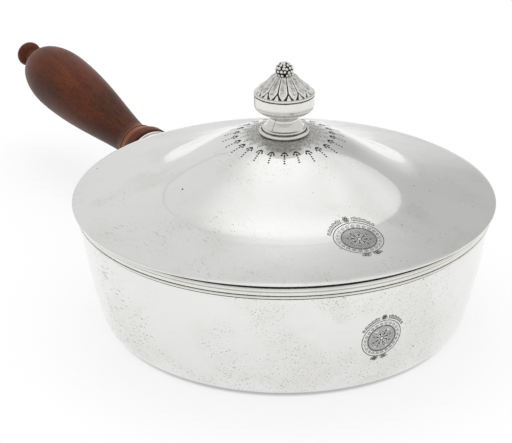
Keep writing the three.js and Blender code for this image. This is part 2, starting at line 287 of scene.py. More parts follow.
# Seeds and turns of the directions in which the long scratches and the short nicks run.
SCRATCHES = ((3.1, (0.3, 0.2, 0.4)), (7.7, (0.1, 0.5, 1.9)), (5.3, (0.6, 0.1, 2.9)))
NICKS = ((1.9, (0.2, 1.5, 0.3)), (8.3, (0.5, 1.3, 2.2)), (4.4, (1.2, 0.4, 1.1)))
SCRATCH_GREY = (0.42, 0.41, 0.38)
NICK_GREY = (0.20, 0.19, 0.17)
PIT_BLACK = (0.07, 0.066, 0.055)
# The black of the painted shade, with some grime, in gaps, grooves and clefts.
SHADE_AND_GRIME_BLACK = (0.022, 0.019, 0.015)
STIPPLE_GREY = (0.48, 0.465, 0.43)
STIPPLE_BLACK = (0.10, 0.094, 0.08)


def dulled(tint, *by):
    return tuple(c * part for c, part in zip(tint, by))


def silver_material(name, tint, rough, wave, pits, stipple=False):
    """Polished silver with a clouded polish, fine scratches, nicks, pits, and painted shade with some grime where the
    points' shade is high.

    The wave is the depth in millimetres of the slow unevenness that the hammer left.
    """
    s = Shader(name)
    veil = s.noise(s.place, 11.0, 2.0, 0.5, 0.4)
    cloud = s.noise(s.place, 30.0, 3.0, 0.55, 0.5)
    smear = s.noise(s.place, 120.0, 3.0, 0.6)
    lines = scratches(s, SCRATCHES, 0.011, 0.00022)
    nicks = scratches(s, NICKS, 0.0060, 0.00070)
    nicks = s.times(nicks, s.span(s.noise(s.place, 31.0, 1.0), 0.45, 0.56))
    pit = s.span(s.cells(s.stretch((1, 1, 0.7)), 95.0), 0.072, 0.038)
    pit = s.times(pit, s.span(s.noise(s.place, 42.0, 1.0), 0.55, 0.62))
    colour = s.mix(s.span(veil, 0.3, 0.7), tint, dulled(tint, 0.955, 0.955, 0.955))
    colour = s.mix(s.span(cloud, 0.44, 0.70, 0.0, 0.75), colour, dulled(tint, 0.885, 0.88, 0.86))
    colour = s.mix(s.span(smear, 0.5, 0.8, 0.0, 0.35), colour, dulled(tint, 0.93, 0.92, 0.89))
    colour = s.mix(s.times(lines, 0.30), colour, SCRATCH_GREY)
    colour = s.mix(s.times(nicks, min(1.0, 1.2 * pits)), colour, NICK_GREY)
    colour = s.mix(s.times(pit, min(1.0, 1.5 * pits)), colour, PIT_BLACK)
    roughness = s.plus(s.span(cloud, 0.3, 0.8, rough - 0.02, rough + 0.05), s.span(smear, 0.4, 0.8, 0.0, 0.04))
    roughness = s.plus(roughness, s.times(lines, 0.14))
    layers = [
        (s.noise(s.place, 15.0, 1.0, 0.4), wave),
        (s.noise(s.place, 46.0, 1.0, 0.4), wave * 0.30),
        (s.noise(s.place, 900.0, 2.0, 0.6), 0.002),
        (s.minus(0.0, s.sum("MAXIMUM", lines, nicks)), 0.004),
        (s.minus(0.0, pit), 0.05 * pits),
    ]
    if stipple:
        matt = stippled_ground(s, smear)
        dots = s.span(s.cells(s.place, 1050.0), 0.30, 0.50, 1.0, 0.0)
        worms = s.span(s.noise(s.place, 1500.0, 2.0, 0.6, 1.5), 0.50, 0.62)
        grain = s.times(matt, s.sum("MAXIMUM", dots, worms))
        colour = s.mix(s.times(matt, 0.36), colour, STIPPLE_GREY)
        colour = s.mix(s.times(grain, 0.74), colour, STIPPLE_BLACK)
        roughness = s.plus(roughness, s.times(matt, 0.25))
        layers.append((s.minus(0.0, grain), 0.08))
    # Painted shade, with some grime, from the shade that build() stores: darker, rougher and less metallic there.
    shade_and_grime = s.plus(s.shade(), s.span(s.noise(s.place, 600.0, 2.0), 0.3, 0.8, -0.12, 0.12))
    shade_and_grime = s.span(shade_and_grime, 0.25, 0.85)
    colour = s.mix(shade_and_grime, colour, SHADE_AND_GRIME_BLACK)
    roughness = s.plus(roughness, s.times(shade_and_grime, 0.35))
    s.bumps(*layers)
    metal = s.minus(1.0, s.times(shade_and_grime, 0.6))
    return s.finish(Base_Color=colour, Metallic=metal, Roughness=roughness)


def stippled_ground(s, smear):
    """The matted ground round the finial: 1 within its lobed and ragged edge, and on the cover's outside only."""
    x, y = s.add("ShaderNodeSeparateXYZ", {0: s.place}).outputs[:2]
    radius = s.sum("POWER", s.plus(s.times(x, x), s.times(y, y)), 0.5)
    angle = s.times(s.sum("ARCTAN2", y, x), float(RAYS))
    lobes = s.times(s.sum("COSINE", s.minus(angle, FRONT * RAYS)), 0.0008)
    edge = s.plus(s.plus(radius, lobes), s.span(smear, 0.3, 0.7, -0.0006, 0.0006))
    outward = s.add("ShaderNodeNewGeometry").outputs["Normal"]
    outside = s.span(s.add("ShaderNodeSeparateXYZ", {0: outward}).outputs[2], 0.0, 0.2)
    return s.times(outside, s.span(edge, 0.0202, 0.0246, 1.0, 0.0))


def wood_material(axis_turn):
    """Waxed dark red hardwood. Its grain runs along the handle, with short dark pores.

    It is lighter where the shade is above 0, a painted highlight, and darker where it is below 0, painted shade with
    some grime.
    """
    s = Shader("waxed_hardwood")
    place = s.stretch((1, 1, 1), turn=axis_turn)
    figure = s.noise(s.stretch((22, 22, 3.0), place=place), 4.0, 4.0, 0.6, 0.6)
    patches = s.noise(s.stretch((9, 9, 4.0), place=place), 3.2, 2.0, 0.5, 0.4)
    fine = s.noise(s.stretch((900, 900, 75), place=place), 1.0, 3.0, 0.6)
    pores = s.span(s.noise(s.stretch((1900, 1900, 210), place=place), 1.0, 1.0, 0.5), 0.62, 0.70)
    colour = s.mix(s.span(figure, 0.3, 0.72), (0.074, 0.0150, 0.0052), (0.150, 0.0345, 0.0105))
    colour = s.mix(s.span(patches, 0.46, 0.68, 0.0, 0.78), colour, (0.032, 0.0150, 0.0090))
    colour = s.mix(s.span(fine, 0.35, 0.75, 0.0, 0.45), colour, (0.190, 0.047, 0.0145))
    speckle = s.noise(s.stretch((1, 1, 0.55), place=place), 820.0, 3.0, 0.65)
    colour = s.mix(s.span(speckle, 0.50, 0.66, 0.0, 0.55), colour, (0.026, 0.0095, 0.0055))
    colour = s.mix(s.times(pores, 0.6), colour, (0.014, 0.006, 0.004))
    # The points' shade: above 0 a painted highlight, below 0 painted shade.
    painted_light = s.shade()
    colour = s.mix(s.times(s.span(painted_light, 0.0, 1.0), 0.85), colour, (0.36, 0.115, 0.042))
    colour = s.mix(s.times(s.span(painted_light, 0.0, -1.0), 0.88), colour, (0.010, 0.006, 0.005))
    rough = s.plus(s.span(patches, 0.3, 0.8, 0.32, 0.42), s.span(fine, 0.3, 0.8, 0.0, 0.1))
    s.bumps(
        (s.minus(0.0, pores), 0.025),
        (fine, 0.012),
        (s.noise(s.place, 70.0, 2.0, 0.5), 0.10),
    )
    return s.finish(Base_Color=colour, Roughness=rough, Specular_IOR_Level=0.14)


def line_material():
    """Cut and punched lines: nearly black, with greyer specks where polish has dried in them."""
    s = Shader("cut_lines")
    speck = s.noise(s.place, 2600.0, 2.0, 0.6)
    colour = s.mix(s.span(speck, 0.45, 0.8), (0.012, 0.011, 0.009), (0.060, 0.056, 0.048))
    s.bumps((speck, 0.03))
    return s.finish(
        Base_Color=colour, Specular_IOR_Level=0.25, Roughness=s.span(speck, 0.2, 0.9, 0.5, 0.75))


# ---- the dish's and the cover's outlines
DISH_HEIGHT = 73.0
MOUTH = 116.7
HEEL = 105.6
HEEL_CORNER = 12.0
HEEL_LEAN = math.radians(15.5)
WALL = 1.3
WIRE_HEIGHT = 6.5


def wall_outline(by=0.0):
    """The dish's outline from its flat floor to its mouth, moved outwards."""
    heel = np.array([HEEL, HEEL_CORNER * (1 - math.sin(HEEL_LEAN))])
    mouth = np.array([MOUTH, DISH_HEIGHT])
    reach = np.linalg.norm(mouth - heel) / 2
    bend = heel + reach * np.array([math.sin(HEEL_LEAN), math.cos(HEEL_LEAN)])
    centre = (HEEL - HEEL_CORNER * math.cos(HEEL_LEAN), HEEL_CORNER)
    size = HEEL_CORNER + by
    corner = arc(centre, (size, size), -90, -math.degrees(HEEL_LEAN), 14)
    wall = offset(bezier([heel, bend, mouth], 40), by)
    wall[-1, 1] = DISH_HEIGHT
    return join(corner, wall[1:])


WALL_OUT = wall_outline()


def wall_radius(height):
    """The outer radius of the dish at a height."""
    return np.interp(height, WALL_OUT[:, 1], WALL_OUT[:, 0])


COVER_EDGE = 120.0
COVER_THICK = 1.0
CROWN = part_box("cover_shell")[1].z / MM
CROWN_RADIUS = 14.5
COVER_EDGE_TOP = CROWN - 37.6
DOME_FOOT = 80.0
STUD_HOLE = 2.7
WARP_START = 84


def cover_outline():
    """The cover's top from its edge to its crown."""
    edge = np.array([COVER_EDGE, COVER_EDGE_TOP])
    foot = np.array([DOME_FOOT, COVER_EDGE_TOP + 8.6])
    middle = (edge + foot) / 2 - [0, 0.5]
    slope = (foot[1] - middle[1]) / (middle[0] - foot[0])
    low = foot + [-17.7, 17.7 * slope]
    high = [CROWN_RADIUS + 24.2, CROWN - 0.4]
    return join(bezier([edge, middle, foot], 30), bezier([foot, low, high, [CROWN_RADIUS, CROWN]], 60)[1:])


COVER_TOP = cover_outline()


def true_height(radius):
    """The height of the cover's top before the warp."""
    return np.interp(-np.asarray(radius), -COVER_TOP[:, 0], COVER_TOP[:, 1])


def warp(radius, angle):
    """How far the hand-raised flange stands above its true height. It is 0 on the dome."""
    out = np.clip((np.asarray(radius) - WARP_START) / (COVER_EDGE - WARP_START), 0, 1) ** 1.5
    a = angle - FRONT
    swing = 0.84 + 0.90 * np.cos(a) + 0.16 * np.sin(a) + 0.45 * np.cos(2 * a) + 0.31 * np.sin(2 * a)
    return out * (swing + 0.05 * np.cos(5 * a + 0.8) + 0.04 * np.cos(9 * a + 2.1))


def cover_height(radius, angle):
    """The height of the cover's top with the warp."""
    return true_height(radius) + warp(radius, angle)


# ---- materials
# The punched rays round the finial, which the lobes of the stippled ground go with.
RAYS = 25
SILVER = (0.85, 0.85, 0.838)
polished = silver_material("polished_silver", SILVER, 0.09, 0.42, pits=0.95)
cover_silver = silver_material("polished_silver_cover", SILVER, 0.08, 0.50, pits=0.3, stipple=True)
small_silver = silver_material("polished_silver_small", (0.78, 0.77, 0.745), 0.14, 0.02, pits=0.2)
chased = silver_material("chased_silver", (0.80, 0.792, 0.762), 0.14, 0.02, pits=0.15)
cut_lines = line_material()


# ---- dish
def make_dish():
    """The bowl, and the reeded moulding round its mouth."""
    inside = wall_outline(-WALL)[::-1]
    lip = arc((MOUTH - WALL / 2, DISH_HEIGHT - 0.25), (WALL / 2, 0.25), 10, 170, 6)
    outline = join([0, 0], [60, 0], WALL_OUT[:-1], lip, inside[1:], [60, WALL], [0, WALL])
    points, faces = turn(outline, 288)
    radius = np.hypot(points[:, 0], points[:, 1])
    # Painted shade inside the top of the wall, where the bezel sits, to darken the gap under the cover.
    inside_top = np.clip((points[:, 2] - 60) / 8, 0, 1) * (radius < wall_radius(points[:, 2]) - WALL / 3)
    build("dish_bowl", points, faces, polished, "dish", ["dish_body"], shade=0.5 * inside_top)

    bottom = DISH_HEIGHT - WIRE_HEIGHT
    core = MOUTH + 0.15
    bead = DISH_HEIGHT - 1.2
    # The outline starts with a thin skirt that lies on the wall below the reed and carries a painted shadow line.
    wire = join(
        [wall_radius(bottom - 0.9) + 0.03, bottom - 0.9], [wall_radius(bottom - 0.8) + 0.09, bottom - 0.8],
        [wall_radius(bottom) + 0.12, bottom],
        arc((core, bottom + 0.8), (0.75, 0.78), -86, 84, 12),
        join([0.30, 1.66], [0.30, 1.84], [0.78, 1.98], [0.90, 2.4], [0.90, 3.3], [0.72, 3.78], [0.34, 3.92],
             [0.34, 4.06]) + [MOUTH, bottom],
        arc((core, bead), (1.55, 1.19), -76, 88, 16),
        [wall_radius(DISH_HEIGHT) + 0.1, DISH_HEIGHT - 0.02],
    )
    points, faces = turn(wire, 288, closed=True)
    # Painted shade, with some grime under the reed: dark lines in the band's grooves and under the reed, a faint one
    # on the band, and the bead's hidden inner top over the gap under the cover.
    shade = np.maximum(groove_shade(points, bottom + 1.75, 0.38), groove_shade(points, bottom - 0.45, 0.75))
    shade = np.maximum(shade, 0.22 * groove_shade(points, bottom + 4.0, 0.25))
    radius = np.hypot(points[:, 0], points[:, 1])
    hidden = (points[:, 2] > bead + 0.55) & (radius < MOUTH + 0.55)
    shade = np.maximum(shade, np.where(hidden, 0.7, 0))
    build("rim_moulding", points, faces, chased, "dish", ["rim_wire"], shade=shade)


# ---- cover
def make_cover():
    """The cover, with painted shade under its flange's edge, and the bezel under it."""
    under = offset(COVER_TOP, -COVER_THICK)[::-1]
    edge = arc((COVER_EDGE - 0.42, COVER_EDGE_TOP - 0.5), (0.42, 0.5), -100, 80, 8)
    inside = CROWN - COVER_THICK
    outline = join(
        [STUD_HOLE, inside], [8, inside], under[:-2], edge, COVER_TOP[2:], [8, CROWN], [STUD_HOLE, CROWN])
    points, faces = turn(outline, 360, closed=True)
    radius = np.hypot(points[:, 0], points[:, 1])
    below = true_height(radius) - points[:, 2]
    around = np.arctan2(points[:, 1], points[:, 0])
    swing = np.degrees(around - FRONT + math.pi) % 360 - 180
    # Painted shade under the flange's edge, which darkens the gap over the rim: heavier from a little left of the
    # front round to the right in the camera's view.
    gap_shade = 0.26 + 0.42 * np.clip((swing + 34) / 20, 0, 1) * np.clip((130 - swing) / 30, 0, 1)
    shade = np.clip((radius - 109) / 3, 0, 1) * np.clip((118.2 - radius) / 1.5, 0, 1) * gap_shade
    shade *= np.clip((below - 0.55) / 0.3, 0, 1)
    points[:, 2] += warp(radius, around)
    build("cover_raised", points, faces, cover_silver, "cover", ["cover_shell"], shade=shade)

    low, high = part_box("cover_bezel")
    outer, bottom, top_z = high.x / MM, low.z / MM, high.z / MM
    bezel = join(
        arc((outer - 1.0, bottom + 0.2), (0.2, 0.2), 180, 270, 4),
        [outer - 0.5, bottom], [outer, bottom + 0.7], [outer, top_z - 0.22], [outer - 1.2, top_z],
    )
    points, faces = turn(bezel, 288, closed=True)
    # Painted shade on the bezel's top, in the gap under the cover's edge.
    shade = 0.6 * np.clip((points[:, 2] - top_z + 4) / 2, 0, 1)
    build("cover_seat_ring", points, faces, small_silver, "cover", ["cover_bezel"], shade=shade)


# ---- finial
def make_stem():
    """The moulded foot and the waisted stem, with a soldered seam up its side. Heights count from the crown."""
    outline = join(
        [0, 7.9], [STUD_HOLE, 7.9], [STUD_HOLE, 0.1], [13.3, 0.1],
        arc((13.15, 1.15), (1.0, 1.05), -78, 74, 12),
        [13.1, 2.32], [12.45, 2.44], [12.2, 2.52],
        arc((11.85, 3.12), (0.52, 0.56), -66, 70, 8),
        [11.7, 3.78],
        spline([
            (11.5, 3.9), (11.0, 4.2), (10.4, 5.0), (9.9, 5.8), (9.3, 6.6), (8.7, 7.4), (8.15, 8.2), (8.0, 9.0),
            (8.15, 9.9), (8.6, 10.8), (9.4, 11.7),
        ], 4),
        [0, 11.7],
    )
    points, faces = turn(outline, 160)
    # Painted shade in the grooves, where the foot meets the cover, and under the cup. The seam is the stem's own dark
    # joint.
    shade = groove_shade(points, 2.44, 0.13) + 0.8 * groove_shade(points, 0.1, 0.5)
    shade = np.maximum(shade, 0.55 * groove_shade(points, 3.82, 0.1))
    shade = np.maximum(shade, 0.9 * groove_shade(points, 11.9, 1.5))
    swing = np.arctan2(points[:, 1], points[:, 0]) - (FRONT - math.radians(37))
    stem_radius, half_seam = 9, 0.2
    seam = (np.abs(swing) * stem_radius < half_seam) & (points[:, 2] > 4.0) & (points[:, 2] < 11.5)
    shade = np.maximum(shade, np.where(seam, 0.85, 0))
    points[:, 2] += CROWN
    build("finial_foot", points, faces, chased, "cover", ["finial_stem"], shade=shade)


def make_drum():
    """The cup above the stem, with its plain band and rim bead. Heights count from the crown."""
    outline = join(
        [0, 11.8],
        spline([
            (10.75, 11.8), (12.25, 12.35), (13.65, 13.1), (14.95, 13.9), (16.0, 14.75), (16.6, 15.6),
            (16.95, 16.7),
        ], 5),
        [16.95, 19], [16.95, 21.5], [16.95, 22.6], [16.88, 22.84], [16.5, 23.04],
        arc((16.58, 23.66), (0.54, 0.54), -76, 90, 10),
        [15.55, 24.2], [15.55, 17.4], [12.35, 14.9], [0, 13.6],
    )
    points, faces = turn(outline, 192)
    # Painted shade in the groove under the rim bead, and on the cup's underside round the stem.
    shade = groove_shade(points, 22.98, 0.42)
    radius = np.hypot(points[:, 0], points[:, 1])
    shade = np.maximum(shade, np.where((points[:, 2] < 13.2) & (radius < 12.5), 0.45, 0))
    points[:, 2] += CROWN
    build("finial_cup", points, faces, chased, "cover", ["finial_drum"], shade=shade)


LEAVES = 14
LEAF_TURN = math.radians(16.0)
# Half a leaf's width, as a part of the leaves' pitch, along it: of its relief, and of the film inside it.
LEAF_EDGE = (
    [0, 0.70, 0.76, 0.81, 0.86, 0.91, 0.95, 0.975, 1],
    [0.470, 0.473, 0.455, 0.415, 0.34, 0.235, 0.13, 0.07, 0.06],
)
FILM_EDGE = ([0, 0.76, 0.81, 0.86, 0.91, 0.95], [0.465, 0.455, 0.415, 0.34, 0.235, 0.13])
# The same of the small tips that show between the leaves at the rim.
TIP_EDGE = ([0.80, 0.855, 0.90, 0.94, 0.985], [0, 0.06, 0.125, 0.17, 0.20])


def leaf_relief(t, side):
    """A leaf's height above the cap's ground, from 0 to 1.

    t runs from 0 at the berry to 1 at the rim, and side from -0.5 to 0.5 across the leaf.
    """
    across = np.abs(side)
    wide = np.interp(t, *LEAF_EDGE)
    x = np.clip(across / wide, 0, 1)
    leaf = np.clip((wide - across) / 0.035, 0, 1)
    border = np.exp(-(((wide - across - 0.065) / 0.03) ** 2)) * np.clip((t - 0.3) / 0.3, 0, 1)
    vein = np.exp(-((side / 0.03) ** 2)) * np.clip((0.9 - t) / 0.2, 0, 1) * np.clip(t / 0.3, 0, 1)
    barbs = 0.03 * np.cos((t * 30 - x * 3.0) * math.pi) * np.clip(x * 2, 0, 1) * np.clip((t - 0.2) / 0.3, 0, 1)
    body = leaf * (0.70 + 0.26 * np.sqrt(1 - x**2) + 0.10 * border - 0.07 * vein + barbs)
    tip = np.interp(t, *TIP_EDGE)
    between = np.where(tip > 0.005, np.clip((tip - (0.5 - across)) / 0.03, 0, 1), 0) * 0.92
    rim = np.clip((t - 0.975) / 0.012, 0, 1) * 0.85
    return np.maximum(np.maximum(body, between), rim)


def leaf_grey(t, side):
    """A grey inside each leaf, lighter on its border and along its fine veins."""
    across = np.abs(side)
    wide = np.interp(t, *FILM_EDGE)
    inside = np.clip((wide - 0.10 - across) / 0.05, 0, 1)
    inside = inside * np.clip(t / 0.12, 0, 1) * np.clip((0.93 - t) / 0.08, 0, 1)
    veins = 0.5 + 0.5 * np.cos((t * 34 - across / wide * 5.0) * math.pi)
    middle = np.exp(-((side / 0.035) ** 2))
    return inside * (0.47 + 0.08 * veins + 0.10 * middle)


def make_leaf_cap():
    """The cap of chased leaves. It swells at the leaves' tips and roots, and sinks under the berry."""
    z = CROWN + 24.3
    foot, bend, top = np.array([16.2, z]), np.array([8.5, z + 7.5]), np.array([4.3, z + 11.3])
    line = bezier([top, bend, foot], 96)
    d = np.gradient(line, axis=0)
    d /= np.linalg.norm(d, axis=1)[:, None]
    out = np.stack([-d[:, 1], d[:, 0]], 1)
    t = np.linspace(0, 1, len(line))
    up = 1 - t
    swell = np.where(up < 0.3, np.sin(math.pi * up / 0.3) ** 2, 0)
    swell = swell + np.where((up > 0.5) & (up < 0.92), np.sin(math.pi * (up - 0.5) / 0.42) ** 2, 0)
    line = line + out * (0.35 * swell)[:, None]
    line[:, 1] -= 1.1 * np.clip(1 - t / 0.22, 0, 1) ** 2
    sides = LEAVES * 30
    a = circle(sides)
    side = ((a - FRONT + LEAF_TURN) * LEAVES / (2 * math.pi)) % 1 - 0.5
    tt, ss = np.meshgrid(t, side, indexing="ij")
    relief = leaf_relief(tt, ss)
    depth = (relief - 0.9) * 0.9
    rows = ring(line[:, :1] + depth * out[:, :1], a, line[:, 1:] + depth * out[:, 1:])[::-1]
    points = np.vstack([ring(14.6, a, z)[None], rows]).reshape(-1, 3)
    n = len(points)
    points = np.vstack([points, [[0, 0, z + 10.2], [0, 0, z]]])
    faces = grid_faces(len(line) + 1, sides)
    faces += fan(n, len(line) * sides, sides) + fan(n + 1, 0, sides, down=True)
    # Painted shade on the ground between the leaves, under the berry and on the cap's foot ring, with the grey inside
    # each leaf.
    shade = np.clip((0.66 - relief) / 0.4, 0, 1)
    shade = np.maximum(shade, leaf_grey(tt, ss))
    shade = np.maximum(shade, np.clip((0.07 - tt) / 0.05, 0, 1) * 0.85)
    shade = np.concatenate([np.full(sides, 0.5), shade[::-1].ravel(), [1.0, 0.5]])
    build(
        "finial_leaves", points, faces, chased, "cover", ["finial_leaf_cap"], sharp=60, shade=shade)


# The berry's rings of beads: latitude in degrees, number of beads, and how far out they reach.
BEAD_RINGS = (
    (-46, 9, 5.30), (-23, 12, 5.30), (1, 13, 5.30), (25, 12, 5.25), (48, 9, 5.2), (70, 5, 5.2), (90, 1, 5.2),
)


def make_berry():
    """A berry of uneven round beads on a core painted black, as painted shade between the beads."""
    centre = np.array([0, 0, CROWN + 36.7])
    rng = np.random.default_rng(11)
    points, faces, shade = [], [], []

    def ball(place, sizes, columns, rows, turned, dark):
        """A ball with its own sizes and turn. A bead gets painted shade, darker as its side turns from outwards into
        the clefts; a dark ball is all painted shade.
        """
        first = len(points)
        p, f = turn(arc((0, 0), (1, 1), -90, 90, rows), columns)
        for q in p:
            r = turned @ (q * sizes)
            points.append(r + place)
            lit = float(np.dot(r, turned[:, 2])) / sizes[2]
            # Painted shade: 1 on the core, and on a bead more where its surface faces away from outwards.
            shade.append(1.0 if dark else float(np.clip((0.60 - lit) / 0.34, 0, 1)))
        faces.extend([tuple(first + i for i in face) for face in f])

    ball(centre, np.full(3, 4.0), 32, 16, np.eye(3), True)
    for latitude, count, reach in BEAD_RINGS:
        for i in range(count):
            a = 2 * math.pi * (i + rng.uniform(-0.16, 0.16) + latitude / 43) / count
            b = math.radians(latitude + rng.uniform(-4, 4) * (abs(latitude) < 80))
            out = np.array([math.cos(a) * math.cos(b), math.sin(a) * math.cos(b), math.sin(b)])
            east = np.array([-math.sin(a), math.cos(a), 0])
            north = np.cross(out, east)
            spin = rng.uniform(0, math.pi)
            u = east * math.cos(spin) + north * math.sin(spin)
            turned = np.stack([u, np.cross(out, u), out], 1)
            size = rng.uniform(0.86, 1.04)
            sizes = np.array([size * rng.uniform(1.0, 1.12), size * rng.uniform(0.9, 1.0), size])
            ball(centre + out * (reach - size), sizes, 14, 9, turned, False)
    build(
        "finial_berry_beads", points, faces, chased, "cover", ["finial_berry"],
        sharp=180, shade=shade)


def make_fastening():
    """The stud with its thread, the washer and the square nut, inside the cover."""
    z0, z1, pitch, sides = CROWN - 9.5, CROWN + 7.6, 0.9, 32
    heights = np.arange(z0, z1 + 0.01, 0.11)
    zz, aa = np.meshgrid(heights, circle(sides), indexing="ij")
    wave = np.abs(((zz / pitch - aa / (2 * math.pi)) % 1) - 0.5) * 2
    fade = np.clip((zz - z0) / 0.6, 0.0, 1)
    r = 2.4 - 0.42 * (1 - wave) * fade - 0.35 * (1 - fade)
    points = ring(r, aa, zz).reshape(-1, 3)
    n = len(points)
    points = np.vstack([points, [[0, 0, z0], [0, 0, z1]]])
    faces = grid_faces(len(heights), sides)
    faces += fan(n, 0, sides, down=True) + fan(n + 1, (len(heights) - 1) * sides, sides)
    build("finial_screw", points, faces, small_silver, "cover", ["finial_stud"], sharp=60)

    top = CROWN - 1.1
    washer = join(
        [STUD_HOLE, top - 1], arc((7.1, top - 0.6), (0.4, 0.4), -90, 0, 4),
        arc((7.1, top - 0.3), (0.4, 0.3), 0, 90, 4), [STUD_HOLE, top])
    points, faces = turn(washer, 72, closed=True)
    build("finial_collar_washer", points, faces, small_silver, "cover", ["finial_washer"])

    high, sides = CROWN - 2.2, 96
    low = high - 4.6
    a = circle(sides)
    square = np.minimum(5.0 / np.maximum(np.abs(np.cos(a)), np.abs(np.sin(a))), 6.65)
    slope = np.maximum(0, square - 5.1) * 0.55
    rings = [
        (2.5, low + 0.25), (2.85, low), (4.9, low), (square, low + slope),
        (square, high - slope), (4.9, high), (2.5, high),
    ]
    points = np.vstack([ring(r, a, z) for r, z in rings])
    faces = grid_faces(len(rings), sides, close_rows=True)
    build("finial_square_nut", points, faces, small_silver, "cover", ["finial_nut"], sharp=25)


# ---- handle
RISE = math.radians(6)
SEAT_HEIGHT = 41.3
SEAT = float(wall_radius(SEAT_HEIGHT))
REACH = SEAT / math.cos(RISE)
SOCKET_END = REACH + 40.2
SOCKET_FOOT = 20.0
SOCKET_SHOULDER = 17.4
SOCKET_MOUTH = 14.6
SOCKET_WALL = 1.4
PLATE_FACE = 1.42
HANDLE_TURN = Matrix.Rotation(RISE - math.pi / 2, 3, "Y")
HANDLE_START = np.array([0, 0, SEAT_HEIGHT - SEAT * math.tan(RISE)])
COLLAR_FACE = 3.1
# How far the wood stands clear of the socket, round its tenon and under its collar.
CLEAR = 0.3


def along_handle(points):
    """Moves points from the handle's own frame, whose Z runs outwards along it, into the model's frame."""
    return np.array(points) @ np.array(HANDLE_TURN).T + HANDLE_START


def on_wall(radius, angle, gap):
    """How far along the handle's axis, at a radius and angle from it, the wall moved outwards by a gap is met."""
    low = np.full(np.shape(angle), 60.0)
    high = np.full(np.shape(angle), 170.0)
    for _ in range(40):
        mid = (low + high) / 2
        p = along_handle(ring(radius, angle, mid))
        outside = np.hypot(p[..., 0], p[..., 1]) > wall_radius(p[..., 2]) + gap
        high = np.where(outside, mid, high)
        low = np.where(outside, low, mid)
    return (low + high) / 2


def make_socket():
    """The socket's tube, its plate on the wall, the ring round its mouth, and the pin through it."""
    sides = 128
    a = circle(sides)
    start, end = on_wall(SOCKET_FOOT, a, PLATE_FACE), REACH + 12.3
    flare = bezier([(SOCKET_FOOT, 0), (17.45, 0), (SOCKET_SHOULDER, 1)], 14)
    rows = [ring(r, a, start + (end - start) * t) for r, t in flare]
    for t in np.linspace(0, 1, 9)[1:]:
        r = SOCKET_SHOULDER + (SOCKET_MOUTH - SOCKET_SHOULDER) * t
        rows.append(ring(r, a, end + (SOCKET_END - end) * t))
    rows.append(ring(SOCKET_MOUTH - SOCKET_WALL, a, SOCKET_END))
    rows.append(ring(16.0, a, end))
    rows.append(ring(16.2, a, on_wall(16.2, a, PLATE_FACE)))
    faces = grid_faces(len(rows), sides, close_rows=True)
    build("socket_tube", along_handle(np.vstack(rows)), faces, polished, "dish", ["handle_socket"])

    plate = (
        (0.01, 0.1), (10, 0.1), (18, 0.1), (22.2, 0.1), (22.5, 0.35), (22.5, 0.8), (22.2, 1.15), (21.6, 1.3),
        (18, 1.3), (10, 1.3), (0.01, 1.3),
    )
    points = np.vstack([ring(r, a, on_wall(r, a, gap)) for r, gap in plate])
    faces = grid_faces(len(plate), sides, close_rows=True)
    build("socket_back_plate", along_handle(points), faces, polished, "dish", ["socket_plate"])

    s = SOCKET_END - 4.6
    inner = 15.22
    mouth_ring = join(
        [inner, s],
        arc((15.6, s + 1.3), (0.7, 1.22), -80, 80, 12), [15.62, s + 2.68],
        arc((15.6, s + 3.7), (0.9, 0.88), -72, 75, 14), [15.7, s + 4.59], [inner, s + 4.6],
    )
    points, faces = turn(mouth_ring, 128, closed=True)
    # Painted shade in the groove between the two beads and at the ring's inner end.
    shade = np.maximum(groove_shade(points, s + 2.68, 0.22), groove_shade(points, s, 0.22))
    build("socket_mouth_beads", along_handle(points), faces, chased, "dish", ["socket_mouth_ring"], shade=shade)

    half = 15.8
    pin = join(
        [0, -half], arc((0, -half + 0.5), (1.25, 0.5), -80, 0, 5),
        arc((0, half - 0.5), (1.25, 0.5), 0, 80, 5), [0, half])
    points, faces = turn(pin, 24)
    points = np.stack([points[:, 0], points[:, 2], -points[:, 1]], 1) + [0, 0, SOCKET_END - 12]
    build("handle_cross_pin", along_handle(points), faces, small_silver, "dish", ["handle_pin"])


